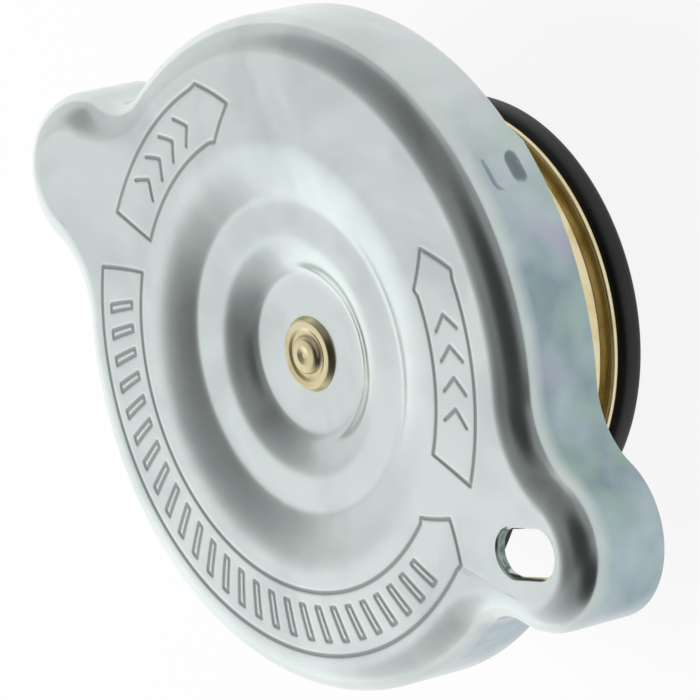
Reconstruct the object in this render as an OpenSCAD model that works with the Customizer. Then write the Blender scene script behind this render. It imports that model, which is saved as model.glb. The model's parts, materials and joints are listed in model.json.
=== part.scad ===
// Radiator filler cap: a pressed shell with two grip ears and two bayonet lugs turns on a rivet
// that carries a spring-loaded pressure valve, and a small vacuum valve hangs in the middle of it.
// Sizes are millimetres and +Z is the outside of the cap. The origin lies on the cap's axis, in the
// plane of the lower seal's face, and +X runs through the ear with the hole.

/* [Shell] */
// Height of the top face above the lower seal's face
cap_h = 25.6; // [25:0.1:30]
// Outside diameter of the skirt
shell_d = 64; // [62:0.5:70]
// Depth of the skirt below the top face
skirt_depth = 10; // [9:0.25:12]
// Thickness of the steel sheet
sheet_t = 1; // [0.8:0.05:1.2]
// Outside radius of the rounded top edge
edge_r = 3.2; // [2:0.1:3.6]

/* [Ears] */
// How far an ear's tip stands out from the skirt
ear_stand = 10.7; // [9.5:0.1:12]
// Radius of an ear's tip
ear_r = 8; // [7.5:0.25:9]
// Radius of the hollow blend between ear and skirt
ear_blend_r = 8; // [6:0.5:10]
// Length of the hole in one ear
hole_l = 7.8; // [6:0.2:9]
// Width of the hole
hole_w = 4.6; // [3:0.2:5]
// Distance from the ear's tip to the middle of the hole
hole_from_tip = 7.7; // [7:0.1:9]
// Turn of the hole's long side from the ear's own line
hole_turn = 30; // [0:1:60]

/* [Dish] */
// Diameter at the dish's upper edge
dish_d = 41.2; // [38:0.2:43]
// Width of the rounded wall from the top face to the step
dish_wall_w = 5.5; // [4:0.1:6.5]
// Drop from the top face to the step
step_depth = 1.2; // [0.8:0.1:1.6]
// Width of the flat step
step_w = 3.5; // [2.5:0.1:4.5]
// Width of the rounded wall from the step to the floor
well_wall_w = 3.7; // [3:0.1:4.5]
// Drop from the step to the floor
well_depth = 1.5; // [1:0.1:1.8]

/* [Bayonet] */
// How far a lug reaches in from the skirt's inner face
lug_reach = 3.3; // [2.5:0.1:4]
// Angle that a lug covers
lug_span = 58; // [40:1:66]
// Angle from the ear with the hole to the middle of a lug
lug_mid = 96; // [85:1:105]
// Angle from the ear with the hole to a stop nib
nib_at = 61; // [50:1:64]
// Width of a stop nib's dent
nib_w = 3.8; // [2.5:0.1:4.5]
// Height of a stop nib's dent
nib_h = 3.2; // [2:0.1:4]
// Distance of the dent above the skirt's lower edge
nib_up = 2.2; // [1.8:0.1:2.5]
// Depth of a stop nib
nib_in = 0.8; // [0.5:0.1:0.9]

/* [Rivet] */
// Diameter of the rivet's shank
rivet_d = 5; // [4:0.1:5.6]
// Diameter of the head that shows in the dish
rivet_head_d = 7.2; // [6.2:0.1:8]
// Height of the head
rivet_head_h = 0.9; // [0.7:0.1:1.4]
// Diameter of the clinched tail
rivet_tail_d = 7.6; // [7:0.1:9]
// Height of the clinched tail
rivet_tail_h = 1.3; // [1:0.1:1.8]
// Diameter of the washer under the tail
washer_d = 11; // [10:0.5:14]
// Thickness of the washer
washer_t = 0.8; // [0.5:0.1:1.2]

/* [Upper seal] */
// Thickness of the spring steel disc
disc_t = 0.3; // [0.2:0.05:0.5]
// Thickness of the rubber gasket
gasket_t = 1.5; // [1:0.1:1.8]
// Room between the gasket's rim and the skirt's inner face
gasket_room = 3; // [2:0.25:4]
// How far the spring disc's rim lies inside the gasket's rim
disc_inset = 0.5; // [0.25:0.25:2]

/* [Valve housing] */
// Outside diameter of the brass housing
housing_d = 40; // [38.5:0.25:41]
// Wall of the housing
housing_wall = 0.6; // [0.5:0.05:0.8]
// Outside radius where the housing's wall meets its top
housing_edge_r = 2; // [1.2:0.1:2.4]
// Outside radius where the housing's wall turns in to its lip
housing_foot_r = 0.8; // [0.7:0.05:1]
// Width of the lip turned in at the housing's mouth
lip_w = 1.3; // [1.2:0.05:1.6]
// Number of windows in the wall
window_count = 4; // [3:1:6]
// Length of a window along the wall
window_l = 8; // [6.5:0.5:10]
// Height of a window
window_h = 5; // [4:0.5:6]

/* [Pressure valve] */
// Travel of the pressure valve
lift = 1; // [0.8:0.1:1.6]
// Thickness of the valve's brass sheet
valve_t = 0.7; // [0.5:0.05:0.8]
// How far the valve plate's rim stands out from the housing
plate_over = 0.4; // [0:0.05:0.6]
// Outside diameter of the hat in the middle of the plate
hat_d = 19; // [18:0.25:20]
// Height of the hat above the plate
hat_h = 5.6; // [5:0.1:6.5]
// Number of flow holes in the hat
flow_count = 4; // [3:1:6]
// Diameter of a flow hole
flow_d = 2.4; // [1.5:0.1:3]
// Sideways room of the valve in the housing
valve_room = 0.25; // [0.2:0.05:0.3]
// Sideways room of the guide ring round the hat
guide_room = 0.4; // [0.3:0.05:0.6]

/* [Lower seal] */
// How far the lower rubber seal stands out from the valve plate
seal_over = 0.5; // [0.4:0.05:1.2]
// Thickness of its outer ring
seal_t = 2.7; // [2.5:0.1:3.2]
// Width of its outer ring
seal_ring_w = 7.7; // [6:0.1:8]
// Thickness of the web that the retainer clamps
seal_web_t = 0.7; // [0.5:0.1:0.9]
// Radius on the seal's upper outer edge
seal_round = 1.2; // [0.6:0.1:1.6]
// Radius on the edges of the seal's face
seal_foot_r = 0.4; // [0.2:0.1:0.6]
// Room between the retainer's flange and the seal's outer ring
retainer_room = 0.6; // [0.4:0.1:1]

/* [Vacuum valve] */
// Travel of the vacuum valve
drop = 1.5; // [1:0.1:1.8]
// Diameter of the port that it closes
port_d = 9; // [7:0.25:10]
// Diameter of the rubber washer
vacuum_seal_d = 13; // [12:0.25:14]
// Thickness of the rubber washer
vacuum_seal_t = 0.8; // [0.6:0.1:1]
// Room in the hat above the port
port_room = 1.6; // [1.2:0.1:2]
// Diameter of the brass disc
vacuum_disc_d = 13.6; // [12.5:0.25:14.5]
// Diameter of the stem
stem_d = 2.4; // [2:0.1:2.8]
// Diameter of the collar at the stem's end
collar_d = 6; // [5.6:0.1:7]
// Thickness of the collar
collar_t = 0.6; // [0.5:0.1:0.8]
// Height of the stem's peened end above the collar
peen_h = 0.6; // [0.5:0.1:0.9]
// How far the peened end stands out from the stem
peen_w = 0.4; // [0.3:0.1:0.6]
// Height of the light spring on the stem
vacuum_spring_h = 3; // [2.8:0.1:4]

/* [Springs] */
// Wire diameter of the pressure spring
pressure_wire_d = 2.2; // [1.6:0.1:2.4]
// Turns of the pressure spring
pressure_turns = 4.5; // [3.5:0.25:5]
// Wire diameter of the vacuum spring
vacuum_wire_d = 0.4; // [0.3:0.05:0.5]
// Turns of the vacuum spring
vacuum_turns = 4; // [3:0.25:5]
// Room between the vacuum spring and the stem
vacuum_coil_room = 0.7; // [0.5:0.05:0.8]

/* [Fits] */
// Gap of a piece that turns or slides on another
running_gap = 0.05; // [0.03:0.01:0.1]
// Gap of a piece that is pushed on or into another
snug_gap = 0.03; // [0.02:0.01:0.05]
// Gap of the gasket round the housing
gasket_gap = 0.15; // [0.1:0.05:0.4]

/* [Hidden] */
$fn = 64;

// Colours of the pieces
ZINC = "#c3cbc8";
BRASS = "#d6bd6a";
RUBBER = "#26282a";
SPRING_STEEL = "#8b9094";

// Heights of the shell, from its top face down
shell_r = shell_d / 2;
skirt_z = cap_h - skirt_depth;
step_z = cap_h - step_depth;
floor_z = step_z - well_depth;
under_z = floor_z - sheet_t;
skirt_in_r = shell_r - sheet_t;
lug_in_r = skirt_in_r - lug_reach;

// Radii of the dish, from its edge inwards, and of the seams in the flat ring round it
dish_r = dish_d / 2;
step_out_r = dish_r - dish_wall_w;
step_in_r = step_out_r - step_w;
floor_r = step_in_r - well_wall_w;
rivet_r = rivet_d / 2;
rivet_hole_r = rivet_r + snug_gap;
flat_w = shell_r - edge_r - dish_r;
rim_flat_in = edge_r + 0.25 * flat_w;
plate_inset = edge_r + 0.12 * flat_w;
plate_hole_r = dish_r + 0.4 * flat_w;
dish_out_r = dish_r + 0.5 * flat_w;

// Ear and blend: both are arcs that touch the skirt's circle and each other
ear_tip = shell_r + ear_stand;
ear_x = ear_tip - ear_r;
blend_far = shell_r + ear_blend_r;
ear_far = ear_r + ear_blend_r;
blend_turn = acos((blend_far * blend_far + ear_x * ear_x - ear_far * ear_far) / (2 * blend_far * ear_x));
blend_c = blend_far * [cos(blend_turn), sin(blend_turn)];
ear_turn = atan2(blend_c[1], blend_c[0] - ear_x);
ear_steps = 18;
blend_steps = 6;
skirt_steps = 24;
edge_steps = 5;
wall_steps = 8;

// Heights of the stack on the rivet, from the dish's underside down
disc_top_z = under_z - running_gap;
housing_top_z = disc_top_z - disc_t;
housing_in_z = housing_top_z - housing_wall;
tail_z = housing_in_z - washer_t - running_gap;

// Heights of the valve, from the lower seal's face up
plate_top_z = seal_t + valve_t;
mouth_z = plate_top_z + lift;
lip_top_z = mouth_z + housing_wall;
spring_seat_z = plate_top_z + valve_t;
hat_top_z = plate_top_z + hat_h;
retainer_floor_z = hat_top_z - 2 * valve_t - port_room;
retainer_flange_z = seal_t - seal_web_t - valve_t;
vacuum_disc_z = retainer_floor_z - vacuum_seal_t;
vacuum_base_z = vacuum_disc_z - valve_t;
collar_z = hat_top_z + vacuum_spring_h;

// Radii of the valve
housing_r = housing_d / 2;
housing_in_r = housing_r - housing_wall;
mouth_r = housing_r - lip_w;
neck_r = mouth_r - valve_room;
flange_r = housing_in_r - valve_room;
hat_r = hat_d / 2;
hat_in_r = hat_r - valve_t;
sleeve_r = hat_in_r - snug_gap;
sleeve_in_r = sleeve_r - valve_t;
plate_r = housing_r + plate_over;
seal_r = plate_r + seal_over;
seal_ring_in_r = seal_r - seal_ring_w;
seal_web_in_r = sleeve_r + snug_gap;
retainer_flange_r = seal_ring_in_r - retainer_room;
stem_r = stem_d / 2;
guide_in_r = hat_r + guide_room;
pressure_coil_r = (guide_in_r + neck_r - valve_t) / 2;
vacuum_coil_r = stem_r + vacuum_coil_room + vacuum_wire_d / 2;

// How far the windows' cutting shapes reach past the housing's wall
cut_past = 2;
// Rise of a spring's closed turn in wire diameters
closed_rise = 1.04;

// Points of an arc round a centre, from one angle to another
function arc(centre, r, from, to, steps) =
    [for (i = [0:steps]) let (a = from + (to - from) * i / steps) centre + r * [cos(a), sin(a)]];

// A wall of the dish from its crisp foot up to its level brink: half a parabola
function wall(foot, brink, steps) =
    [for (i = [0:steps]) let (s = i / steps) [foot[0] + (brink[0] - foot[0]) * s,
                                              foot[1] + (brink[1] - foot[1]) * s * (2 - s)]];

// Stations along one arc of the shell's outline, each a point with its outward direction,
// which is away from the arc's centre (side 1) or towards it (side -1)
function stations(centre, r, side, from, to, steps) =
    [for (i = [0:steps - 1]) let (a = from + (to - from) * i / steps, away = [cos(a), sin(a)])
        [centre + r * away, side * away]];

// Half of the shell's outline: an ear, a blend, the skirt's long arc and the next ear's blend
half_outline = concat(
    stations([ear_x, 0], ear_r, 1, -ear_turn, ear_turn, ear_steps),
    stations(blend_c, ear_blend_r, -1, 180 + ear_turn, 180 + blend_turn, blend_steps),
    stations([0, 0], shell_r, 1, blend_turn, 180 - blend_turn, skirt_steps),
    stations([-blend_c[0], blend_c[1]], ear_blend_r, -1, 360 - blend_turn, 360 - ear_turn, blend_steps));
outline = concat(half_outline, [for (s = half_outline) -s]);

// Section of the rim as (inset from the outline, height): the skirt, its round edge, the flat
rim_section = concat(
    [[0, skirt_z]],
    arc([edge_r, cap_h - edge_r], edge_r, 180, 90, edge_steps),
    [[rim_flat_in, cap_h], [rim_flat_in, cap_h - sheet_t]],
    arc([edge_r, cap_h - edge_r], edge_r - sheet_t, 90, 180, edge_steps),
    [[sheet_t, skirt_z]]);

// A closed section carried round a closed outline
module carried_round(stations, section) {
    n = len(stations);
    m = len(section);
    points = [for (s = stations) for (p = section) concat(s[0] - p[0] * s[1], p[1])];
    faces = [for (i = [0:n - 1]) for (j = [0:m - 1])
        let (i2 = (i + 1) % n, j2 = (j + 1) % m) each
        [[i * m + j, i * m + j2, i2 * m + j2], [i * m + j, i2 * m + j2, i2 * m + j]]];
    polyhedron(points, faces, convexity = 6);
}

// A ring of rectangular section
module ring(in_r, out_r, low_z, high_z) {
    rotate_extrude() translate([in_r, low_z]) square([out_r - in_r, high_z - low_z]);
}

// A slot with round ends, centred, its long side along X
module slot(length, width) {
    reach = (length - width) / 2;
    square([2 * reach, width], center = true);
    for (side = [-1, 1]) translate([side * reach, 0]) circle(d = width);
}

// A coil of round wire between two heights, with one closed turn at each end
module coil(coil_r, wire_r, low_z, high_z, turns, turn_steps, sides) {
    steps = ceil(turns * turn_steps);
    rise = high_z - low_z - 2 * wire_r;
    closed = 2 * wire_r * closed_rise;
    pitch = (rise - 2 * closed) / (turns - 2);
    function height(t) = t < 1 ? closed * t
        : t > turns - 1 ? rise - closed * (turns - t) : closed + pitch * (t - 1);
    points = [for (i = [0:steps]) let (t = turns * i / steps, a = 360 * t)
        for (j = [0:sides - 1]) let (b = 360 * (j + 0.5) / sides, r = coil_r + wire_r * cos(b))
            [r * cos(a), r * sin(a), low_z + wire_r + height(t) + wire_r * sin(b)]];
    walls = [for (i = [0:steps - 1]) for (j = [0:sides - 1])
        let (j2 = (j + 1) % sides, p = i * sides, q = p + sides) each
        [[p + j, p + j2, q + j2], [p + j, q + j2, q + j]]];
    start = [[for (j = [sides - 1:-1:0]) j]];
    end = [[for (j = [0:sides - 1]) steps * sides + j]];
    polyhedron(points, concat(walls, start, end), convexity = 8);
}

// Sheet of the dish: its upper line from the rivet hole to the flat ring, and the same line below
module dish() {
    upper = concat(
        [[rivet_hole_r, floor_z]],
        wall([floor_r, floor_z], [step_in_r, step_z], wall_steps),
        wall([step_out_r, step_z], [dish_r, cap_h], wall_steps),
        [[dish_out_r, cap_h]]);
    lower = [for (i = [len(upper) - 1:-1:0]) upper[i] - [0, sheet_t]];
    rotate_extrude($fn = 128) polygon(concat(upper, lower));
}

// Flat of the top face between dish and rim, ears included
module top_flat() {
    translate([0, 0, cap_h - sheet_t]) linear_extrude(sheet_t) difference() {
        polygon([for (s = outline) s[0] - plate_inset * s[1]]);
        circle(r = plate_hole_r, $fn = 128);
    }
}

// Lugs bent in from the skirt's lower edge
module lugs() {
    for (turn = [0, 180]) rotate(turn + lug_mid - lug_span / 2)
        rotate_extrude(angle = lug_span, $fn = 128) translate([lug_in_r, skirt_z])
            square([lug_reach + sheet_t / 2, sheet_t]);
}

// A block at a stop nib's place, from one radius to another, larger all round by a margin
module nib_block(in_r, out_r, margin) {
    for (turn = [0, 180]) rotate(turn + nib_at)
        translate([in_r, -nib_w / 2 - margin, skirt_z + nib_up - margin])
            cube([out_r - in_r, nib_w + 2 * margin, nib_h + 2 * margin]);
}

module cap_shell() {
    nib_wall = 0.8 * sheet_t;
    color(ZINC) difference() {
        union() {
            carried_round(outline, rim_section);
            top_flat();
            dish();
            lugs();
            nib_block(skirt_in_r - nib_in, shell_r - sheet_t / 2, nib_wall);
        }
        nib_block(shell_r - nib_in, shell_r + sheet_t, 0);
        translate([ear_tip - hole_from_tip, 0, cap_h - 2 * sheet_t]) rotate(hole_turn)
            linear_extrude(3 * sheet_t) slot(hole_l, hole_w);
    }
}

module centre_rivet() {
    head_r = rivet_head_d / 2;
    boss_r = 0.5 * head_r;
    dimple_r = 0.22 * head_r;
    shoulder_z = floor_z + 0.55 * rivet_head_h;
    head_top_z = floor_z + rivet_head_h;
    dimple_z = floor_z + 0.5 * rivet_head_h;
    draft = 0.2;
    shoulder_r = 0.3;
    boss_edge_r = 0.25;
    tail_r = rivet_tail_d / 2;
    tail_edge_r = 0.5;
    color(BRASS) rotate_extrude() polygon(concat(
        [[0, tail_z - rivet_tail_h]],
        arc([tail_r - tail_edge_r, tail_z - rivet_tail_h + tail_edge_r], tail_edge_r, -90, 0, 4),
        [[tail_r, tail_z], [rivet_r, tail_z], [rivet_r, floor_z], [head_r, floor_z]],
        arc([head_r - shoulder_r, shoulder_z - shoulder_r], shoulder_r, 0, 90, 3),
        [[boss_r + draft, shoulder_z]],
        arc([boss_r - boss_edge_r, head_top_z - boss_edge_r], boss_edge_r, 0, 90, 3),
        [[dimple_r, head_top_z], [0, dimple_z]]));
}

module rivet_washer() {
    color(SPRING_STEEL) ring(rivet_r + running_gap, washer_d / 2, housing_in_z - washer_t, housing_in_z);
}

module spring_disc() {
    color(SPRING_STEEL)
        ring(rivet_r + running_gap, skirt_in_r - gasket_room - disc_inset, housing_top_z, disc_top_z);
}

module upper_gasket() {
    color(RUBBER)
        ring(housing_r + gasket_gap, skirt_in_r - gasket_room, housing_top_z - gasket_t, housing_top_z);
}

module spring_housing() {
    top_in_r = housing_edge_r - housing_wall;
    foot_r = housing_foot_r;
    foot_in_r = foot_r - housing_wall;
    window_z = (lip_top_z + housing_top_z - gasket_t) / 2;
    color(BRASS) difference() {
        rotate_extrude($fn = 128) polygon(concat(
            [[rivet_r + running_gap, housing_in_z], [rivet_r + running_gap, housing_top_z]],
            arc([housing_r - housing_edge_r, housing_top_z - housing_edge_r], housing_edge_r, 90, 0, 6),
            arc([housing_r - foot_r, mouth_z + foot_r], foot_r, 0, -90, 4),
            [[mouth_r, mouth_z], [mouth_r, lip_top_z]],
            arc([housing_r - foot_r, mouth_z + foot_r], foot_in_r, -90, 0, 4),
            arc([housing_r - housing_edge_r, housing_top_z - housing_edge_r], top_in_r, 0, 90, 6)));
        for (i = [0:window_count - 1]) rotate(360 * i / window_count)
            translate([housing_in_r - cut_past, 0, window_z]) rotate([90, 0, 90])
                linear_extrude(housing_wall + 2 * cut_past) slot(window_l, window_h);
    }
}

module pressure_spring() {
    color(SPRING_STEEL) coil(pressure_coil_r, pressure_wire_d / 2, spring_seat_z, housing_in_z,
                             pressure_turns, 20, 8);
}

module valve_guide() {
    inner_r = neck_r - valve_t;
    color(BRASS) rotate_extrude($fn = 128) polygon([
        [guide_in_r, plate_top_z], [neck_r, plate_top_z], [neck_r, lip_top_z], [flange_r, lip_top_z],
        [flange_r, lip_top_z + valve_t], [inner_r, lip_top_z + valve_t],
        [inner_r, spring_seat_z], [guide_in_r, spring_seat_z]]);
}

module valve_plate() {
    crown_r = 1.4;
    crown_in_r = crown_r - valve_t;
    crown_z = hat_top_z - crown_r;
    rim = valve_t / 2;
    hole_r = stem_r + running_gap;
    color(BRASS) difference() {
        rotate_extrude($fn = 128) polygon(concat(
            [[hat_in_r, seal_t]],
            arc([plate_r - rim, seal_t + rim], rim, -90, 90, 6),
            [[hat_r, plate_top_z]],
            arc([hat_r - crown_r, crown_z], crown_r, 0, 90, 5),
            [[hole_r, hat_top_z], [hole_r, hat_top_z - valve_t]],
            arc([hat_r - crown_r, crown_z], crown_in_r, 90, 0, 5)));
        for (i = [0:flow_count - 1]) rotate(360 * i / flow_count)
            translate([(hat_in_r + collar_d / 2) / 2, 0, hat_top_z - 2 * valve_t])
                cylinder(d = flow_d, h = 3 * valve_t);
    }
}

module lower_seal() {
    foot = seal_foot_r;
    color(RUBBER) rotate_extrude($fn = 128) polygon(concat(
        [[seal_web_in_r, seal_t - seal_web_t], [seal_ring_in_r, seal_t - seal_web_t]],
        arc([seal_ring_in_r + foot, foot], foot, 180, 270, 4),
        arc([seal_r - foot, foot], foot, -90, 0, 4),
        arc([seal_r - seal_round, seal_t - seal_round], seal_round, 0, 90, 6),
        [[seal_web_in_r, seal_t]]));
}

module seal_retainer() {
    color(BRASS) rotate_extrude($fn = 128) polygon([
        [sleeve_in_r, retainer_flange_z], [retainer_flange_r, retainer_flange_z],
        [retainer_flange_r, retainer_flange_z + valve_t], [sleeve_r, retainer_flange_z + valve_t],
        [sleeve_r, retainer_floor_z + valve_t], [port_d / 2, retainer_floor_z + valve_t],
        [port_d / 2, retainer_floor_z], [sleeve_in_r, retainer_floor_z]]);
}

module vacuum_seal() {
    color(RUBBER) ring(stem_r + snug_gap, vacuum_seal_d / 2, vacuum_disc_z, retainer_floor_z);
}

module vacuum_valve() {
    disc_r = vacuum_disc_d / 2;
    bevel = 0.2;
    peen_r = stem_r + peen_w;
    top_z = collar_z + collar_t + peen_h;
    color(BRASS) rotate_extrude() polygon(concat(
        [[0, vacuum_base_z]],
        [[disc_r - bevel, vacuum_base_z], [disc_r, vacuum_base_z + bevel], [disc_r, vacuum_disc_z]],
        [[stem_r, vacuum_disc_z], [stem_r, collar_z + collar_t], [peen_r, collar_z + collar_t]],
        [[peen_r, top_z - peen_h / 2], [stem_r, top_z], [0, top_z]]));
}

module vacuum_spring() {
    color(SPRING_STEEL) coil(vacuum_coil_r, vacuum_wire_d / 2, hat_top_z, collar_z, vacuum_turns, 16, 6);
}

module stem_collar() {
    color(BRASS) ring(stem_r + snug_gap, collar_d / 2, collar_z, collar_z + collar_t);
}

cap_shell();
centre_rivet();
rivet_washer();
spring_disc();
upper_gasket();
spring_housing();
pressure_spring();
valve_guide();
valve_plate();
lower_seal();
seal_retainer();
vacuum_seal();
vacuum_valve();
vacuum_spring();
stem_collar();
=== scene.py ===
"""Looks of a two-eared radiator cap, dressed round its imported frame.

Sizes are millimetres until a mesh is made. +Z is the outside of the cap and +X runs through the ear
with the hole.
"""
import json

import bpy
import numpy as np
from mathutils import Matrix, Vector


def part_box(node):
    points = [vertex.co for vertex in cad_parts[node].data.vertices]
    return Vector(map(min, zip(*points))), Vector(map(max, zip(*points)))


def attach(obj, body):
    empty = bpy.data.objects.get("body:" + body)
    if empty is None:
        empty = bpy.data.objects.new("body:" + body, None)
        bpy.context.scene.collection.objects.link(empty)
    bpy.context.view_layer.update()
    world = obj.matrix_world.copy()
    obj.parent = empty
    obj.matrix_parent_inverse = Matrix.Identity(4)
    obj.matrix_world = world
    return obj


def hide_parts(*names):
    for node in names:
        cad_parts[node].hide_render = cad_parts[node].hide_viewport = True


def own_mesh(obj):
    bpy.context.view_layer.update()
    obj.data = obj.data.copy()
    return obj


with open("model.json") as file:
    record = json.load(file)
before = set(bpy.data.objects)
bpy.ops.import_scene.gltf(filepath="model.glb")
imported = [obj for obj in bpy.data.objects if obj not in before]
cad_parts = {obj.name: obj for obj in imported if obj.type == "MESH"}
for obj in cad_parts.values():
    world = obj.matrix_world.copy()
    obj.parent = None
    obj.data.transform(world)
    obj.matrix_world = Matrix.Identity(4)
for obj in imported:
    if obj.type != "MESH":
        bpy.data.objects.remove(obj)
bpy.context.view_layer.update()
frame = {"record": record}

MM = 0.001
BODY_OF = {node: body for body, nodes in frame["record"]["behaviour"]["bodies"].items() for node in nodes}


def extent(node):
    """Radius along y, lowest z and highest z of a node, in millimetres."""
    low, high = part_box(node)
    return high.y / MM, low.z / MM, high.z / MM


# Shell
shell_r, skirt_z, top_z = extent("cap_shell")
ear_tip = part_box("cap_shell")[1].x / MM
sheet_t = 1.0
edge_r = 3.2
ear_r = 8.0
blend_r = 8.0
dish_r = 20.6
step_out_r = 15.1
step_in_r = 11.6
floor_r = 7.9
foot_fillet = 0.5
step_depth = 1.2
well_depth = 1.5
step_z = top_z - step_depth
floor_z = step_z - well_depth
rivet_hole_r = 2.53

# Rings of points on the dish's level stretches, which keep their shading flat
floor_rings = (4.5, 6.5)
step_rings = (12.6, 13.8)

# Ear hole
hole_from_tip = 7.7
hole_x = ear_tip - hole_from_tip
hole_l = 7.8
hole_w = 4.6
hole_turn = np.radians(30)
hole_edge = 0.18

# Bayonet lugs and stop nibs
lug_reach = 3.3
lug_span = np.radians(58)
lug_mid = np.radians(96)
lug_bend_r = 1.3
nib_at = np.radians(61)
nib_w = 3.8
nib_h = 3.2
nib_up = 2.2
nib_in = 0.8
nib_z = skirt_z + nib_up + nib_h / 2

# Width of the slope from plain to pressed sheet, at the nibs and at the ends of the lugs
press_slope = 1.8

# Engraved marks on the flat ring
mark_in_r = 20.75
mark_out_r = 28.5
mark_w = 0.34
mark_depth = 0.05

# Fineness of the shell's grid: points round the engraved flat, its rings of them, and then every how many
# of those points the plainer parts use
STATIONS = 1024
MARK_RINGS = 45
OUTSIDE = 2
INSIDE = 4
DISH = 4

# Rivet, housing and gasket, where run_r is the bore of what turns on the rivet
tail_r, tail_low_z, head_top_z = extent("centre_rivet")
housing_r, mouth_z, housing_top_z = extent("spring_housing")
gasket_z = extent("upper_gasket")[1]
rivet_r = 2.5
rivet_head_r = 3.6
rivet_tail_h = 1.3
run_r = 2.55
gasket_room = 0.15
housing_wall = 0.6
lip_w = 1.3
window_count = 4
window_l = 8.0
window_h = 5.0

# Pressure valve, whose rooms are the gaps between its pieces
plate_r, seal_t, hat_top_z = extent("valve_plate")
seal_r = extent("lower_seal")[0]
retainer_r, retainer_low_z, port_z = extent("seal_retainer")
spring_low_z, spring_top_z = extent("pressure_spring")[1:]
valve_t = 0.7
valve_room = 0.25
guide_room = 0.4
press_room = 0.03
hat_r = 9.5
flow_count = 4
flow_d = 2.4
seal_ring_w = 7.7
seal_web_t = 0.7
pressure_wire_r = 1.1
pressure_turns = 4.5

# Vacuum valve, whose stem is peened over the collar
disc_r, disc_z, stem_top_z = extent("vacuum_valve")
collar_z, collar_top_z = extent("stem_collar")[1:]
port_r = 4.5
stem_r = 1.2
stem_room = 0.05
peen_over = 0.4
peen_edge = 0.3
spring_land_r = 3.0
vacuum_coil_r = 2.1
vacuum_wire_r = 0.2
vacuum_turns = 4


def srgb(code):
    """Linear colour of an sRGB hex value such as c4ccc8."""
    parts = [int(code[i:i + 2], 16) / 255 for i in (0, 2, 4)]
    return tuple(c / 12.92 if c <= 0.04045 else ((c + 0.055) / 1.055) ** 2.4 for c in parts) + (1.0,)


def node(tree, kind, sockets=None, **settings):
    """Add a shader node: settings are its properties, sockets its inputs, each a value or an output."""
    made = tree.nodes.new("ShaderNode" + kind)
    for name, value in settings.items():
        setattr(made, name, value)
    for name, value in (sockets or {}).items():
        if isinstance(value, bpy.types.NodeSocket):
            tree.links.new(value, made.inputs[name])
        else:
            made.inputs[name].default_value = value
    return made


def smooth(value):
    """S-shaped step: 0 up to 0, 1 from 1 on, level at both ends."""
    t = np.clip(value, 0, 1)
    return t * t * (3 - 2 * t)


# Surfaces

def strip(a, b):
    """Faces between two rings of point numbers, a before b as seen along the surface.

    Equal rings give quads. Otherwise each point of the coarse ring fans out over its share of the
    fine one, and a ring of one point is a pole.
    """
    if len(a) == len(b):
        return np.stack([a, b, np.roll(b, -1), np.roll(a, -1)], 1).tolist()
    fine, coarse = (a, b) if len(a) > len(b) else (b, a)
    share = len(fine) // len(coarse)
    here = fine.reshape(-1, share)
    after = np.roll(fine, -1).reshape(-1, share)
    next_coarse = np.roll(coarse, -1)
    owner = np.where(np.arange(share) < share // 2, coarse[:, None], next_coarse[:, None])
    middle = here[:, share // 2]
    if fine is a:
        fans = np.stack([here, owner, after], -1)
        bridges = np.stack([middle, coarse, next_coarse], 1)
    else:
        fans = np.stack([owner, here, after], -1)
        bridges = np.stack([coarse, middle, next_coarse], 1)
    faces = fans.reshape(-1, 3).tolist()
    return faces + bridges.tolist() if len(coarse) > 1 else faces


def skin(rings, closed):
    """Points and faces of the surface through a list of rings, closed from the last to the first or not."""
    starts = np.cumsum([0] + [len(ring) for ring in rings])
    numbers = [start + np.arange(len(ring)) for start, ring in zip(starts, rings)]
    follow = numbers[1:] + numbers[:1] if closed else numbers[1:]
    faces = []
    for a, b in zip(numbers, follow):
        faces += strip(a, b)
    return np.concatenate(rings), faces


def mesh_object(name, points, faces):
    """A smooth-shaded object at the origin, with its place in its mesh."""
    mesh = bpy.data.meshes.new(name)
    mesh.from_pydata((points * MM).tolist(), [], faces)
    mesh.polygons.foreach_set("use_smooth", np.ones(len(faces), bool))
    made = bpy.data.objects.new(name, mesh)
    bpy.context.collection.objects.link(made)
    return made


def dress(name, cad_node, surface, finish):
    """A piece that stands for one CAD node: it rides on the node's body and takes its slot."""
    made = mesh_object(name, *surface)
    made.data.materials.append(finish)
    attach(made, BODY_OF[cad_node])
    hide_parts(cad_node)
    return made


def rounded(corners, closed=True, steps=5):
    """A line of (r, z) through corners (r, z, radius), each turned by a curve that touches both its sides.

    The curve is the weighted mean of its start, the corner and its end, weights (1-s)^2, 2s(1-s), s^2.
    A curve takes at most 0.42 of a side. A point just before and after it keeps the straight stretches
    flat to the eye.
    """
    corners = np.array(corners, float)
    at = corners[:, :2]
    back = np.roll(at, 1, 0) - at
    ahead = np.roll(at, -1, 0) - at
    back_l = np.linalg.norm(back, axis=1, keepdims=True)
    ahead_l = np.linalg.norm(ahead, axis=1, keepdims=True)
    back = back / back_l
    ahead = ahead / ahead_l
    turn = np.pi - np.arccos(np.clip((back * ahead).sum(1), -1, 1))
    reach = (corners[:, 2] * np.tan(turn / 2))[:, None]
    reach = np.minimum(reach, 0.42 * np.minimum(back_l, ahead_l))
    s = np.linspace(0, 1, steps + 1)[None, :, None]
    start = (at + back * reach)[:, None]
    end = (at + ahead * reach)[:, None]
    curve = (1 - s) ** 2 * start + 2 * s * (1 - s) * at[:, None] + s * s * end
    spare = 0.15 * reach
    before = start + (back * spare)[:, None]
    after = end + (ahead * spare)[:, None]
    groups = np.concatenate([before, curve, after], 1)
    if closed:
        return groups.reshape(-1, 2)
    return np.concatenate([at[:1], groups[1:-1].reshape(-1, 2), at[-1:]])


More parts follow.
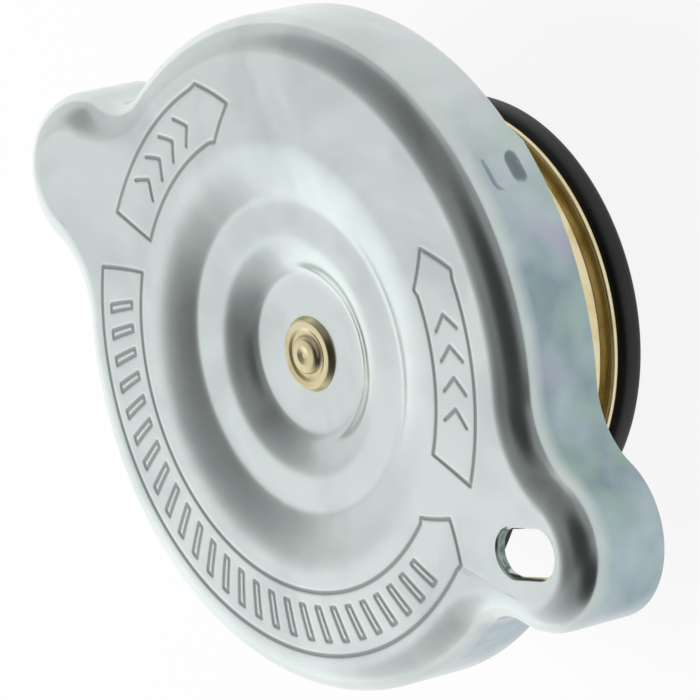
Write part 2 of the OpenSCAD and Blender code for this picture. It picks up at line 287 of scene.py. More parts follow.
def turned(line, sides=192):
    """Surface of revolution: a line of (r, z) carried round the axis, clockwise as seen in section.

    A line that starts and ends on the axis closes there, any other closes on itself.
    """
    hair = 1e-6
    turn = np.linspace(0, 2 * np.pi, sides, endpoint=False)
    rings = []
    for r, z in line:
        if r < hair:
            rings.append(np.array([[0, 0, z]]))
        else:
            rings.append(np.stack([r * np.cos(turn), r * np.sin(turn), np.full(sides, z)], 1))
    return skin(rings, closed=line[0][0] > hair)


def ring(in_r, out_r, low_z, high_z, edge):
    """Closed line of a ring of rectangular section with rounded edges."""
    return rounded([(in_r, high_z, edge), (out_r, high_z, edge), (out_r, low_z, edge), (in_r, low_z, edge)])


def ring_piece(name, cad_node, in_r, edge, finish):
    """A ring that fills its node's box from a given bore."""
    out_r, low_z, high_z = extent(cad_node)
    return dress(name, cad_node, turned(ring(in_r, out_r, low_z, high_z, edge)), finish)


def wound(coil_r, wire_r, low_z, high_z, turns, turn_steps, sides):
    """Coil of round wire: a circle carried along a helix whose first and last turns lie closed.

    Height rises by 1.04 wire diameters in each closed turn and evenly in between.
    """
    closed = 2 * wire_r * 1.04
    rise = high_z - low_z - 2 * wire_r
    t = np.linspace(0, turns, int(turns * turn_steps))
    height = low_z + wire_r + np.interp(t, [0, 1, turns - 1, turns], [0, closed, rise - closed, rise])
    turn = 2 * np.pi * t[:, None]
    around = np.linspace(0, 2 * np.pi, sides, endpoint=False)[None, :]
    r = coil_r + wire_r * np.cos(around)
    rings = np.stack([r * np.cos(turn), r * np.sin(turn), height[:, None] + wire_r * np.sin(around)], -1)
    ends = rings.mean(1, keepdims=True)
    return skin([ends[0], *rings, ends[-1]], closed=False)


def slot_prism(length, width, levels, place, sides=96):
    """A slot with round ends carried along levels of (height, growth), from its top to its foot.

    place turns the slot's own (along, across, height) into the cap's frame.
    """
    turn = (np.arange(sides) + 0.5) * 2 * np.pi / sides
    shift = np.sign(np.cos(turn)) * (length - width) / 2
    rings = []
    for height, growth in levels:
        r = width / 2 + growth
        rings.append(np.stack([shift + r * np.cos(turn), r * np.sin(turn), np.full(sides, height)], 1))
    rings = [rings[0].mean(0, keepdims=True), *rings, rings[-1].mean(0, keepdims=True)]
    points, faces = skin(rings, closed=False)
    linear, offset = place
    return points @ np.array(linear, float) + np.array(offset, float), faces


def cut(made, cutters):
    """Take closed shapes out of a piece for good, and keep the cut edges crisp."""
    tools = [mesh_object("cutter", *cutter) for cutter in cutters]
    for tool in tools:
        change = made.modifiers.new("cut", "BOOLEAN")
        change.operation = "DIFFERENCE"
        change.solver = "MANIFOLD"
        change.object = tool
    mesh = bpy.data.meshes.new_from_object(made.evaluated_get(bpy.context.evaluated_depsgraph_get()))
    made.modifiers.clear()
    made.data = mesh
    for tool in tools:
        bpy.data.objects.remove(tool)
    mesh.set_sharp_from_angle(angle=np.radians(50))


# The pressed shell

def outline(count):
    """Points and outward directions evenly spaced round the shell, whose half outline is four arcs.

    An ear, a hollow blend, the skirt's long arc and the next ear's blend touch one another. The other
    half is the same, turned half round.
    """
    ear_x = ear_tip - ear_r
    far = shell_r + blend_r
    near = ear_r + blend_r
    blend_turn = np.arccos((far ** 2 + ear_x ** 2 - near ** 2) / (2 * far * ear_x))
    blend_x, blend_y = far * np.cos(blend_turn), far * np.sin(blend_turn)
    ear_turn = np.arctan2(blend_y, blend_x - ear_x)
    half = np.pi
    arcs = np.array([
        (ear_x, 0, ear_r, 1, -ear_turn, ear_turn),
        (blend_x, blend_y, blend_r, -1, half + ear_turn, half + blend_turn),
        (0, 0, shell_r, 1, blend_turn, half - blend_turn),
        (-blend_x, blend_y, blend_r, -1, 2 * half - blend_turn, 2 * half - ear_turn)])
    other = arcs * [-1, -1, 1, 1, 1, 1] + [0, 0, 0, 0, half, half]
    x, y, r, side, first, last = np.concatenate([arcs, other]).T
    ends = np.cumsum(r * np.abs(last - first))
    along = np.linspace(0, ends[-1], count, endpoint=False)
    arc = np.searchsorted(ends, along, "right")
    share = 1 - (ends[arc] - along) / (r * np.abs(last - first))[arc]
    turn = first[arc] + (last - first)[arc] * share
    away = np.stack([np.cos(turn), np.sin(turn)], 1)
    return np.stack([x[arc], y[arc]], 1) + r[arc, None] * away, side[arc, None] * away


def arrow(length, width, head, flare, slant):
    """Closed line of an arrow along +x: a slanted tail, a straight shaft and a flared head."""
    half = width / 2
    neck = length - head
    barb = neck + 0.2 * head
    return np.array([(slant, half), (neck, half), (barb, half + flare), (length, 0),
                     (barb, -half - flare), (neck, -half), (0, -half), (slant, half)])


def chevrons(first, spacing, count, height, lean):
    """A row of chevrons that point along +x."""
    chevron = np.array([(-lean, height / 2), (0, 0), (-lean, -height / 2)])
    return [chevron + [x, 0] for x in first + spacing * np.arange(count)]


def bars(first, spacing, count, height, width, lean):
    """A row of narrow leaning bars, drawn by their outlines."""
    half_h = height / 2
    half_w = width / 2
    bar = np.array([(-lean - half_w, -half_h), (lean - half_w, half_h), (lean + half_w, half_h),
                    (-lean + half_w, -half_h), (-lean - half_w, -half_h)])
    return [bar + [x, 0] for x in first + spacing * np.arange(count)]


# Marks as tail angle, way round, radius of their middle line and lines: two arrows and the long band
arrow_row = chevrons(first=5.6, spacing=2.9, count=4, height=3.0, lean=1.4)
band_row = bars(first=4.6, spacing=2.45, count=26, height=3.2, width=0.7, lean=0.5)
MARKS = [
    (np.radians(6), 1, 23.9,
     [arrow(length=20.6, width=5.4, head=3.8, flare=0.3, slant=-0.6), *arrow_row]),
    (np.radians(178.5), -1, 24.4,
     [arrow(length=21.2, width=5.4, head=4.6, flare=0.2, slant=0), *arrow_row]),
    (np.radians(188), 1, 25.1,
     [arrow(length=73.0, width=6.0, head=3.4, flare=0.2, slant=1.6), *band_row]),
]


def mark_distance(turn, r):
    """Distance from points of the flat ring to the nearest engraved line, measured on the ring unrolled."""
    nearest = np.full(turn.shape, np.inf)
    for tail, way, middle_r, lines in MARKS:
        x = ((way * (turn - tail) + np.pi / 2) % (2 * np.pi) - np.pi / 2) * middle_r
        y = r - middle_r
        for line in lines:
            for (x0, y0), (x1, y1) in zip(line[:-1], line[1:]):
                dx, dy = x1 - x0, y1 - y0
                t = np.clip(((x - x0) * dx + (y - y0) * dy) / (dx * dx + dy * dy), 0, 1)
                nearest = np.minimum(nearest, np.hypot(x - x0 - t * dx, y - y0 - t * dy))
    return nearest


def dish_line():
    """Upper line of the dish as (r, z): floor, wall, step and wall up to the face.

    A wall is half a parabola, steep at its foot and level at its brink, and its foot has a small fillet:
    the weighted mean of a point before the corner, the corner and a point after it.
    """
    def wall(foot_r, foot_z, brink_r, brink_z, steps):
        start = foot_fillet / (brink_r - foot_r)
        s = np.linspace(start, 1, steps + 1)
        rise = np.stack([foot_r + (brink_r - foot_r) * s, foot_z + (brink_z - foot_z) * s * (2 - s)], 1)
        t = np.linspace(0, 1, 6)[:-1, None]
        corner = np.array([foot_r, foot_z])
        before = corner - [foot_fillet, 0]
        fillet = (1 - t) ** 2 * before + 2 * t * (1 - t) * corner + t * t * rise[0]
        return np.concatenate([fillet, rise])
    return np.concatenate([
        [(r, floor_z) for r in (rivet_hole_r, *floor_rings)],
        wall(floor_r, floor_z, step_in_r, step_z, 10),
        [(r, step_z) for r in step_rings],
        wall(step_out_r, step_z, dish_r, top_z, 12)])


def quarter(centre, radius, first, last, steps):
    """Points of an arc in a section, from one angle to another in degrees."""
    angle = np.radians(np.linspace(first, last, steps + 1))
    return np.stack([centre[0] + radius * np.cos(angle), centre[1] + radius * np.sin(angle)], 1)


def foot_sections():
    """Section of the skirt's lower edge as (inset, z) with no lug and with one, point for point.

    Without a lug the sheet ends in a blunt edge. A lug is the same sheet bent in below the skirt.
    """
    blunt = 0.25
    tip = 0.3
    bend = lug_bend_r
    lug_end = sheet_t + lug_reach
    rise = np.linspace(skirt_z + 0.5, skirt_z + bend, 5)
    plain = np.concatenate([
        quarter((blunt, skirt_z + blunt), blunt, 180, 270, 6),
        quarter((sheet_t - blunt, skirt_z + blunt), blunt, 270, 360, 8),
        np.stack([np.full(5, sheet_t), rise], 1)])
    lug = np.concatenate([
        quarter((bend, skirt_z + bend), bend, 180, 270, 6),
        quarter((lug_end - tip, skirt_z + tip), tip, 270, 360, 4),
        quarter((lug_end - tip, skirt_z + sheet_t - tip), tip, 0, 90, 3),
        quarter((bend, skirt_z + bend), bend - sheet_t, 270, 180, 4)])
    return plain, lug


def shell_surface():
    """The pressing as one closed skin of rings: dish, engraved flat, round edge, skirt, lugs, inside again.

    The rings next to a bend stand a little off it, so that the bend's shading stays its own.
    """
    near_bend = 0.1
    off_bend = 0.3
    spot, away = outline(STATIONS)
    turn = np.arctan2(spot[:, 1], spot[:, 0])
    skirt_turn = np.mod(turn, np.pi)
    lug = np.clip((lug_span / 2 - np.abs(skirt_turn - lug_mid)) * shell_r / press_slope + 0.5, 0, 1)
    across = np.clip((nib_w / 2 - np.abs(skirt_turn - nib_at) * shell_r) / press_slope + 0.5, 0, 1)

    def circle(r, z, every):
        angle = turn[::every]
        return np.stack([r * np.cos(angle), r * np.sin(angle), np.broadcast_to(z, angle.shape)], 1)

    def rim(inset, z, every):
        inset = np.broadcast_to(inset, turn.shape)[::every]
        z = np.broadcast_to(z, turn.shape)[::every]
        return np.column_stack([spot[::every] - inset[:, None] * away[::every], z])

    def dent(z):
        return nib_in * smooth(across) * smooth((nib_h / 2 - abs(z - nib_z)) / press_slope + 0.5)

    rings = [circle(r, z, DISH) for r, z in dish_line()]
    for r in np.linspace(mark_in_r, mark_out_r, MARK_RINGS):
        groove = smooth(1.5 - mark_distance(turn, np.full(turn.shape, r)) / (mark_w / 2))
        rings.append(circle(r, top_z - mark_depth * groove, 1))
    edge_z = top_z - edge_r
    face_end = circle(mark_out_r, top_z, 1)
    edge_start = rim(edge_r + near_bend, top_z, 1)
    rings += [face_end + (edge_start - face_end) * share for share in (0.5, 0.85, 1)]
    for inset, z in quarter((edge_r, edge_z), edge_r, 90, 180, 10):
        rings.append(rim(inset, z, OUTSIDE))
    low_z = skirt_z + lug_bend_r + near_bend
    for z in np.linspace(edge_z - off_bend, low_z, 15):
        rings.append(rim(dent(z), z, OUTSIDE))
    plain, bent = foot_sections()
    for (inset, z), (lug_inset, lug_z) in zip(plain, bent):
        rings.append(rim(inset + (lug_inset - inset) * lug, z + (lug_z - z) * lug, OUTSIDE))
    for z in np.linspace(low_z + off_bend, edge_z, 12):
        rings.append(rim(sheet_t + dent(z), z, INSIDE))
    for inset, z in quarter((edge_r, edge_z), edge_r - sheet_t, 180, 90, 6)[1:]:
        rings.append(rim(inset, z, INSIDE))
    under_z = top_z - sheet_t
    rings.append(rim(edge_r + 2 * near_bend, under_z, INSIDE))
    for r in (mark_out_r, 0.5 * (mark_out_r + mark_in_r)):
        rings.append(circle(r, under_z, INSIDE))
    rings += [circle(r, z - sheet_t, DISH) for r, z in dish_line()[::-1]]
    return skin(rings, closed=True)


def note_marks(mesh):
    """Keep each point's distance from the nearest engraved line in the mesh, in millimetres, for the
    painted shade in the grooves.

    Points under the face count as far away.
    """
    place = np.empty(3 * len(mesh.vertices))
    mesh.vertices.foreach_get("co", place)
    x, y, z = place.reshape(-1, 3).T / MM
    distance = mark_distance(np.arctan2(y, x), np.hypot(x, y))
    distance[z < top_z - 2 * mark_depth] = shell_r
    mesh.attributes.new("mark_distance", "FLOAT", "POINT").data.foreach_set("value", distance)


# Finishes

def finish_tree(name):
    """A new material and its emptied node tree."""
    made = bpy.data.materials.new(name)
    made.use_nodes = True
    made.node_tree.nodes.clear()
    return made, made.node_tree


def about_axis(tree, place):
    """The coordinates of a place, and its distance from the cap's axis: the length of (x, y, 0)."""
    axes = node(tree, "SeparateXYZ", {0: place}).outputs
    flat = node(tree, "CombineXYZ", {"X": axes["X"], "Y": axes["Y"]})
    radius = node(tree, "VectorMath", {0: flat.outputs[0]}, operation="LENGTH")
    return axes, radius.outputs["Value"]


def zinc_plated_pressing():
    """Bright zinc plate on drawn steel sheet: a satin grey metal with a faint blue, green and violet tint.

    The plating's clear passivation gives the skirt a soft, patchy blue, green and violet tint. The skirt's
    colours are also darker than the face's, as painted shade, and both tint and painted shade grow towards
    +X, the ear with the hole. The sheet's grain gives a fine orange peel, and the engraved grooves are
    painted darker, as painted shade.
    """
    made, tree = finish_tree("zinc_plated_pressing")
    place = node(tree, "TexCoord").outputs["Object"]
    axes, radius = about_axis(tree, place)
    below = node(tree, "MapRange", {"Value": axes["Z"], "From Min": (top_z - 0.5 * edge_r) * MM,
                                    "From Max": (top_z - 1.2 * edge_r) * MM}).outputs["Result"]
    outside = node(tree, "Math", {0: radius, 1: mark_out_r * MM}, operation="GREATER_THAN").outputs[0]
    # Painted shade: the weight of the skirt's darker colours rises from 0.2 to 1 towards +X
    shade_towards_x = node(tree, "MapRange", {"Value": axes["X"], "From Min": 0.2 * shell_r * MM,
                                   "From Max": 0.72 * shell_r * MM, "To Min": 0.2}).outputs["Result"]
    side = node(tree, "Math", {0: below, 1: outside}, operation="MULTIPLY").outputs[0]
    skirt_tint_and_shade = node(tree, "Math", {0: side, 1: shade_towards_x}, operation="MULTIPLY").outputs[0]
    cloud_mm = 14.0
    clouds = node(tree, "TexNoise", {"Vector": place, "Scale": 1 / (cloud_mm * MM), "Detail": 3.0,
                                     "Roughness": 0.6, "Distortion": 0.4}).outputs[0]
    patch_mm = 6.0
    patches = node(tree, "TexNoise", {"Vector": place, "Scale": 1 / (patch_mm * MM), "Detail": 2.0,
                                      "Roughness": 0.5}).outputs[0]
    hue_mm = 8.0
    hue = node(tree, "TexNoise", {"Vector": place, "Scale": 1 / (hue_mm * MM), "Detail": 2.0, "W": 3.7},
               noise_dimensions="4D").outputs[0]
    dull = node(tree, "MapRange", {"Value": clouds, "From Min": 0.42, "From Max": 0.68})
    face = node(tree, "Mix", {0: dull.outputs[0], 6: srgb("e2eae6"), 7: srgb("d1d9d6")}, data_type="RGBA")
    pale = node(tree, "MapRange", {"Value": patches, "From Min": 0.34, "From Max": 0.66})
    # The skirt's colours: the plating's blue, violet and green tint, made darker than the face's as painted
    # shade
    blue = node(tree, "Mix", {0: pale.outputs[0], 6: srgb("94a9b0"), 7: srgb("bccdd4")}, data_type="RGBA")
    warm = node(tree, "MapRange", {"Value": hue, "From Min": 0.53, "From Max": 0.7})
    violet = node(tree, "Mix", {0: warm.outputs[0], 6: blue.outputs[2], 7: srgb("b9b8cf")},
                  data_type="RGBA")
    fresh = node(tree, "MapRange", {"Value": hue, "From Min": 0.48, "From Max": 0.34})
    skirt = node(tree, "Mix", {0: fresh.outputs[0], 6: violet.outputs[2], 7: srgb("a9c5b8")},
                 data_type="RGBA")
    plate = node(tree, "Mix", {0: skirt_tint_and_shade, 6: face.outputs[2], 7: skirt.outputs[2]}, data_type="RGBA")
    # Painted shade: points near an engraved line are darkened towards 4e5450
    line = node(tree, "Attribute", attribute_name="mark_distance").outputs["Fac"]
    groove = node(tree, "MapRange", {"Value": line, "From Min": 0.75 * mark_w, "From Max": 0.4 * mark_w,
                                     "To Max": 0.6}).outputs["Result"]
    colour = node(tree, "Mix", {0: groove, 6: plate.outputs[2], 7: srgb("4e5450")}, data_type="RGBA")
    peel_mm = 0.5
    peel = node(tree, "TexNoise", {"Vector": place, "Scale": 1 / (peel_mm * MM), "Detail": 3.0})
    rough = node(tree, "MapRange", {"Value": patches, "From Min": 0.3, "From Max": 0.7,
                                    "To Min": 0.13, "To Max": 0.2})
    bump = node(tree, "Bump", {"Height": peel.outputs[0], "Strength": 0.05, "Distance": 0.05 * MM})
    shader = node(tree, "BsdfPrincipled", {"Base Color": colour.outputs[2], "Metallic": 0.8,
                                           "Roughness": rough.outputs[0], "Normal": bump.outputs[0]})
    node(tree, "OutputMaterial", {"Surface": shader.outputs[0]})
    return made


def drawn_brass():
    """Bright brass, drawn in a press and trimmed on a lathe: yellow metal with fine rings round the axis.

    Handling leaves it duller and browner in patches. Real lathe lines are finer: these are drawn as coarse
    as they need to be to show.
    """
    made, tree = finish_tree("drawn_brass")
    place = node(tree, "TexCoord").outputs["Object"]
    axes, radius = about_axis(tree, place)
    section = node(tree, "CombineXYZ", {"X": radius, "Y": axes["Z"]}).outputs[0]
    line_mm = 0.35
    lines = node(tree, "TexNoise", {"Vector": section, "Scale": 1 / (line_mm * MM), "Detail": 2.0})
    patch_mm = 5.0
    patches = node(tree, "TexNoise", {"Vector": place, "Scale": 1 / (patch_mm * MM), "Detail": 4.0,
                                      "Roughness": 0.6})
    dull = node(tree, "MapRange", {"Value": patches.outputs[0], "From Min": 0.5, "From Max": 0.8})
    colour = node(tree, "Mix", {0: dull.outputs[0], 6: srgb("f7e9bd"), 7: srgb("dcc280")}, data_type="RGBA")
    rough = node(tree, "MapRange", {"Value": dull.outputs[0], "To Min": 0.28, "To Max": 0.45})
    bump = node(tree, "Bump", {"Height": lines.outputs[0], "Strength": 0.12, "Distance": 0.06 * MM})
    shader = node(tree, "BsdfPrincipled", {"Base Color": colour.outputs[2], "Metallic": 1.0,
                                           "Roughness": rough.outputs[0], "Normal": bump.outputs[0]})
    node(tree, "OutputMaterial", {"Surface": shader.outputs[0]})
    return made


def moulded_rubber():
    """Black nitrile rubber from a mould: nearly matt, with a fine grain and a grey bloom in patches.

    The real grain is finer: it is drawn as coarse as it needs to be to show.
    """
    made, tree = finish_tree("moulded_rubber")
    place = node(tree, "TexCoord").outputs["Object"]
    grain_mm = 0.3
    grain = node(tree, "TexNoise", {"Vector": place, "Scale": 1 / (grain_mm * MM), "Detail": 3.0})
    bloom_mm = 4.0
    bloom = node(tree, "TexNoise", {"Vector": place, "Scale": 1 / (bloom_mm * MM), "Detail": 5.0,
                                    "Roughness": 0.65})
    grey = node(tree, "MapRange", {"Value": bloom.outputs[0], "From Min": 0.4, "From Max": 0.75})
    colour = node(tree, "Mix", {0: grey.outputs[0], 6: srgb("0e0d0e"), 7: srgb("1b1a1b")}, data_type="RGBA")
    rough = node(tree, "MapRange", {"Value": grain.outputs[0], "To Min": 0.4, "To Max": 0.55})
    bump = node(tree, "Bump", {"Height": grain.outputs[0], "Strength": 0.15, "Distance": 0.05 * MM})
    shader = node(tree, "BsdfPrincipled", {"Base Color": colour.outputs[2], "Roughness": rough.outputs[0],
                                           "Normal": bump.outputs[0]})
    node(tree, "OutputMaterial", {"Surface": shader.outputs[0]})
    return made


def rolled_spring_steel():
    """Spring steel wire and strip: grey metal, oil-dark in patches, with drawing lines round the axis.

    The real lines are finer: they are drawn as coarse as they need to be to show.
    """
    made, tree = finish_tree("rolled_spring_steel")
    place = node(tree, "TexCoord").outputs["Object"]
    axes, radius = about_axis(tree, place)
    section = node(tree, "CombineXYZ", {"X": radius, "Y": axes["Z"]}).outputs[0]
    line_mm = 0.2
    lines = node(tree, "TexNoise", {"Vector": section, "Scale": 1 / (line_mm * MM), "Detail": 2.0})
    patch_mm = 3.0
    patches = node(tree, "TexNoise", {"Vector": place, "Scale": 1 / (patch_mm * MM), "Detail": 4.0})
    oil = node(tree, "MapRange", {"Value": patches.outputs[0], "From Min": 0.4, "From Max": 0.7})
    colour = node(tree, "Mix", {0: oil.outputs[0], 6: srgb("a3a8ab"), 7: srgb("6c6a67")}, data_type="RGBA")
    rough = node(tree, "MapRange", {"Value": lines.outputs[0], "To Min": 0.28, "To Max": 0.42})
    bump = node(tree, "Bump", {"Height": lines.outputs[0], "Strength": 0.1, "Distance": 0.04 * MM})
    shader = node(tree, "BsdfPrincipled", {"Base Color": colour.outputs[2], "Metallic": 1.0,
                                           "Roughness": rough.outputs[0], "Normal": bump.outputs[0]})
    node(tree, "OutputMaterial", {"Surface": shader.outputs[0]})
    return made


zinc = zinc_plated_pressing()
brass = drawn_brass()
rubber = moulded_rubber()
steel = rolled_spring_steel()


# Pieces

shell = dress("pressed_shell", "cap_shell", shell_surface(), zinc)
hole_along = (np.cos(hole_turn), np.sin(hole_turn), 0)
hole_across = (-np.sin(hole_turn), np.cos(hole_turn), 0)
hole_place = ((hole_along, hole_across, (0, 0, 1)), (hole_x, 0, top_z))
# The cutter: wide above the face, narrowing through the softened edge, then straight through the sheet
hole_levels = [(sheet_t, hole_edge), (0.001, hole_edge), (-1.6 * hole_edge, 0), (-2 * sheet_t, 0)]
cut(shell, [slot_prism(hole_l, hole_w, hole_levels, hole_place)])
note_marks(shell.data)

# The rivet's head has a dimple in a boss, a groove round it and a flange outside
head_h = head_top_z - floor_z
dimple_r = 0.24 * rivet_head_r
dimple_z = head_top_z - 0.2 * head_h
boss_r = 0.46 * rivet_head_r
boss_z = head_top_z - 0.05 * head_h
groove_z = floor_z + 0.4 * head_h
flange_z = floor_z + 0.55 * head_h
flange_edge_z = floor_z + 0.05 * head_h
tail_z = tail_low_z + rivet_tail_h
dress("rivet", "centre_rivet", turned(rounded([
    (0, dimple_z, 0), (0.35 * dimple_r, dimple_z, 0.2), (dimple_r, head_top_z, 0.3), (boss_r, boss_z, 0.4),
    (boss_r + 0.25, groove_z, 0.15), (boss_r + 0.6, groove_z, 0.2),
    (boss_r + 0.9, flange_z, 0.25), (rivet_head_r - 0.38, flange_z, 0.2),
    (rivet_head_r, flange_edge_z, 0.1), (rivet_head_r, floor_z, 0.01),
    (rivet_r, floor_z, 0.05), (rivet_r, tail_z, 0.05), (tail_r, tail_z, 0.12),
    (tail_r, tail_low_z, 0.5), (0, tail_low_z, 0)], closed=False), 96), brass)

ring_piece("tail_washer", "rivet_washer", run_r, 0.15, steel)
ring_piece("diaphragm_disc", "spring_disc", run_r, 0.1, steel)
ring_piece("neck_gasket", "upper_gasket", housing_r + gasket_room, 0.3, rubber)

mouth_r = housing_r - lip_w
housing_in_r = housing_r - housing_wall
lip_top_z = mouth_z + housing_wall
ceiling_z = housing_top_z - housing_wall
housing = dress("valve_housing", "spring_housing", turned(rounded([
    (run_r, housing_top_z, 0.08), (housing_r, housing_top_z, 2.0), (housing_r, mouth_z, 0.5),
    (mouth_r, mouth_z, 0.15), (mouth_r, lip_top_z, 0.15), (housing_in_r, lip_top_z, 0.2),
    (housing_in_r, ceiling_z, 1.4), (run_r, ceiling_z, 0.08)]), 256), brass)
window_z = (lip_top_z + gasket_z) / 2
window_levels = [(2.0, 0), (-4.0, 0)]
window_places = [
    (((-np.sin(turn), np.cos(turn), 0), (0, 0, 1), (np.cos(turn), np.sin(turn), 0)),
     (housing_r * np.cos(turn), housing_r * np.sin(turn), window_z))
    for turn in np.arange(window_count) * 2 * np.pi / window_count]
cut(housing, [slot_prism(window_l, window_h, window_levels, place) for place in window_places])

plate_top_z = seal_t + valve_t
neck_r = mouth_r - valve_room
neck_in_r = neck_r - valve_t
flange_r = housing_in_r - valve_room
guide_in_r = hat_r + guide_room
dress("spring_guide", "valve_guide", turned(rounded([
    (neck_in_r, lip_top_z + valve_t, 0.6), (flange_r, lip_top_z + valve_t, 0.2), (flange_r, lip_top_z, 0.2),
    (neck_r, lip_top_z, 0.15), (neck_r, plate_top_z, 0.4), (guide_in_r, plate_top_z, 0.15),
    (guide_in_r, plate_top_z + valve_t, 0.15), (neck_in_r, plate_top_z + valve_t, 0.15)])), brass)

hat_in_r = hat_r - valve_t
hat_ceiling_z = hat_top_z - valve_t
stem_bore_r = stem_r + stem_room
plate = dress("pressure_plate", "valve_plate", turned(rounded([
    (stem_bore_r, hat_top_z, 0.08), (hat_r, hat_top_z, 1.4), (hat_r, plate_top_z, 0.3),
    (plate_r, plate_top_z, 0.33), (plate_r, seal_t, 0.33), (hat_in_r, seal_t, 0.2),
    (hat_in_r, hat_ceiling_z, 0.7), (stem_bore_r, hat_ceiling_z, 0.08)])), brass)
flow_r = (hat_in_r + spring_land_r) / 2
flow_levels = [(2.0, 0), (-3.0, 0)]
upright = ((1, 0, 0), (0, 1, 0), (0, 0, 1))
flow_places = [(upright, (flow_r * np.cos(turn), flow_r * np.sin(turn), hat_top_z))
               for turn in np.arange(flow_count) * 2 * np.pi / flow_count]
cut(plate, [slot_prism(flow_d, flow_d, flow_levels, place, 40) for place in flow_places])

seal_ring_in_r = seal_r - seal_ring_w
web_z = seal_t - seal_web_t
dress("valve_seal", "lower_seal", turned(rounded([
    (hat_in_r, seal_t, 0.1), (seal_r, seal_t, 1.2), (seal_r, 0, 1.0), (seal_ring_in_r, 0, 0.4),
    (seal_ring_in_r, web_z, 0.2), (hat_in_r, web_z, 0.1)])), rubber)

sleeve_r = hat_in_r - press_room
sleeve_in_r = sleeve_r - valve_t
rim_z = retainer_low_z + valve_t
port_low_z = port_z - valve_t
dress("retainer_cup", "seal_retainer", turned(rounded([
    (port_r, port_z, 0.1), (sleeve_r, port_z, 0.4), (sleeve_r, rim_z, 0.1), (retainer_r, rim_z, 0.15),
    (retainer_r, retainer_low_z, 0.2), (sleeve_in_r, retainer_low_z, 0.6),
    (sleeve_in_r, port_low_z, 0.2), (port_r, port_low_z, 0.1)])), brass)

ring_piece("vacuum_washer", "vacuum_seal", stem_r + press_room, 0.12, rubber)
ring_piece("collar", "stem_collar", stem_r + press_room, 0.1, brass)
peen_r = stem_r + peen_over
disc_top_z = disc_z + valve_t
dress("vacuum_stem", "vacuum_valve", turned(rounded([
    (0, stem_top_z, 0), (stem_r, stem_top_z, 0.2), (peen_r, stem_top_z - peen_edge, 0.15),
    (peen_r, collar_top_z, 0.06), (stem_r, collar_top_z, 0.05), (stem_r, disc_top_z, 0.05),
    (disc_r, disc_top_z, 0.15), (disc_r, disc_z, 0.25), (0, disc_z, 0)], closed=False), 96), brass)

# The two springs, each with its own copy of its mesh
pressure_coil = dress("pressure_coil", "pressure_spring", wound(
    coil_r=(guide_in_r + neck_in_r) / 2, wire_r=pressure_wire_r, low_z=spring_low_z, high_z=spring_top_z,
    turns=pressure_turns, turn_steps=64, sides=18), steel)
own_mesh(pressure_coil)
vacuum_coil = dress("vacuum_coil", "vacuum_spring", wound(
    coil_r=vacuum_coil_r, wire_r=vacuum_wire_r, low_z=hat_top_z, high_z=collar_z,
    turns=vacuum_turns, turn_steps=48, sides=12), steel)
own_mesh(vacuum_coil)


# Studio

def pale_floor():
    """A wide pale floor that is white to the camera and in reflections, and still takes a shadow.

    It lies a hair below the cap's lower face and is clear from below, so that the underside can be seen.
    """
    half = 3000.0
    low_z = -0.05
    mirror_glow = 0.8
    camera_glow = 0.9
    corners = half * np.array([(-1, -1, 0), (1, -1, 0), (1, 1, 0), (-1, 1, 0)]) + [0, 0, low_z]
    made = mesh_object("floor", corners, [[0, 1, 2, 3]])
    finish, tree = finish_tree("studio_paper")
    path = node(tree, "LightPath").outputs
    seen = path["Is Camera Ray"]
    mirrored = node(tree, "Math", {0: path["Is Glossy Ray"], 1: path["Is Transmission Ray"]},
                    operation="MAXIMUM").outputs[0]
    in_mirror = node(tree, "Math", {0: mirrored, 1: mirror_glow}, operation="MULTIPLY").outputs[0]
    strength = node(tree, "Mix", {0: seen, 2: in_mirror, 3: camera_glow}).outputs[0]
    glow = node(tree, "Emission", {"Color": srgb("ffffff"), "Strength": strength})
    tone = node(tree, "Mix", {0: mirrored, 6: srgb("e6e6e4"), 7: srgb("808080")}, data_type="RGBA")
    shown = node(tree, "Mix", {0: seen, 6: tone.outputs[2], 7: srgb("585858")}, data_type="RGBA")
    paper = node(tree, "BsdfDiffuse", {"Color": shown.outputs[2]})
    both = node(tree, "AddShader", {0: glow.outputs[0], 1: paper.outputs[0]})
    below = node(tree, "NewGeometry").outputs["Backfacing"]
    clear = node(tree, "BsdfTransparent")
    sided = node(tree, "MixShader", {0: below, 1: both.outputs[0], 2: clear.outputs[0]})
    node(tree, "OutputMaterial", {"Surface": sided.outputs[0]})
    made.data.materials.append(finish)


# Camera: where it stands as seen from the cap, what it is aimed at, and its lens
camera_azimuth = np.radians(38.60)
camera_elevation = np.radians(37.76)
camera_roll = np.radians(103.37)
camera_distance = 606.07
camera_aim = np.array([3.08, 1.83, 21.02])
camera_lens = 336.57


def towards(azimuth, elevation):
    """Unit direction from an azimuth counted from +X towards +Y and an elevation, in radians."""
    level = np.cos(elevation)
    return np.array([level * np.cos(azimuth), level * np.sin(azimuth), np.sin(elevation)])


def aimed(azimuth, elevation, distance, roll=0.0):
    """Matrix of a camera or lamp that looks at the aim from a direction and a distance.

    Its up is the level direction and the rising one, mixed by the sine and cosine of its roll.
    """
    back = towards(azimuth, elevation)
    level = np.cross([0, 0, 1], back)
    level /= np.linalg.norm(level)
    up = np.sin(roll) * level + np.cos(roll) * np.cross(back, level)
    right = np.cross(up, back)
    place = (camera_aim + distance * back) * MM
    return Matrix(np.column_stack([right, up, back, place]).tolist() + [[0, 0, 0, 1]])


def set_camera():
    """Camera at the photograph's angle, rolled about its own line of sight."""
    data = bpy.data.cameras.new("camera")
    data.lens = camera_lens
    data.clip_start = 0.01
    made = bpy.data.objects.new("camera", data)
    made.matrix_world = aimed(camera_azimuth, camera_elevation, camera_distance, camera_roll)
    bpy.context.collection.objects.link(made)
    bpy.context.scene.camera = made


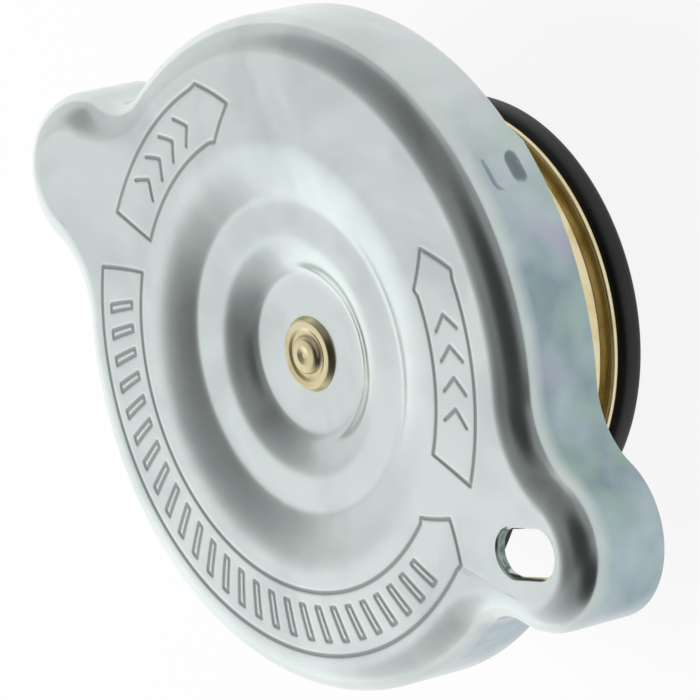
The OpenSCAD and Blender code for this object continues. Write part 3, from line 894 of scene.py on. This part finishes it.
# The surround: its light, and its soft dark flags as azimuth from the camera, elevation, core, reach
# and share
sky_light = 1.17
FLAGS = [
    (-4, 50, 12, 42, 0.94),
    (-12, 46, 45, 116, 0.74),
    (-103, 41, 39, 51, 0.22),
    (-53, 17, 4, 43, 0.98),
    (123, 19, 45, 57, 0.36),
    (82, 65, 44, 56, 0.38),
    (-165, 66, 5, 22, 0.28),
]


def studio_sky():
    """A bright surround with soft dark flags, darkest on the camera's side, which draw the metal's forms.

    A flag takes its share of the light within its core, less and less from there to its reach, and none
    beyond. Its angles are degrees from its middle. Seen directly, the surround is white.
    """
    world = bpy.data.worlds.new("studio_sky")
    world.use_nodes = True
    tree = world.node_tree
    tree.nodes.clear()
    way = node(tree, "TexCoord").outputs["Generated"]
    strength = sky_light
    for azimuth, elevation, core, reach, share in FLAGS:
        middle = towards(camera_azimuth + np.radians(azimuth), np.radians(elevation))
        facing = node(tree, "VectorMath", {0: way, 1: middle}, operation="DOT_PRODUCT").outputs["Value"]
        left = node(tree, "MapRange", {"Value": facing, "From Min": np.cos(np.radians(reach)),
                                       "From Max": np.cos(np.radians(core)), "To Min": 1.0,
                                       "To Max": 1 - share}, interpolation_type="SMOOTHSTEP")
        strength = node(tree, "Math", {0: strength, 1: left.outputs["Result"]},
                        operation="MULTIPLY").outputs[0]
    seen = node(tree, "LightPath").outputs["Is Camera Ray"]
    strength = node(tree, "Mix", {0: seen, 2: strength, 3: 1.0}).outputs[0]
    light = node(tree, "Background", {"Color": srgb("fafcff"), "Strength": strength})
    node(tree, "OutputWorld", {"Surface": light.outputs[0]})
    bpy.context.scene.world = world


def softbox(name, azimuth, elevation, distance, width, power):
    """A square lamp aimed at the cap, which lights what scatters and isn't mirrored in the metal."""
    data = bpy.data.lights.new(name, "AREA")
    data.size = width * MM
    data.energy = power
    made = bpy.data.objects.new(name, data)
    made.matrix_world = aimed(azimuth, elevation, distance)
    made.visible_glossy = False
    bpy.context.collection.objects.link(made)


pale_floor()
set_camera()
studio_sky()
softbox("far_softbox", azimuth=camera_azimuth + np.pi, elevation=np.radians(40), distance=700.0,
        width=500.0, power=4.9)
bpy.context.scene.view_settings.view_transform = "Standard"
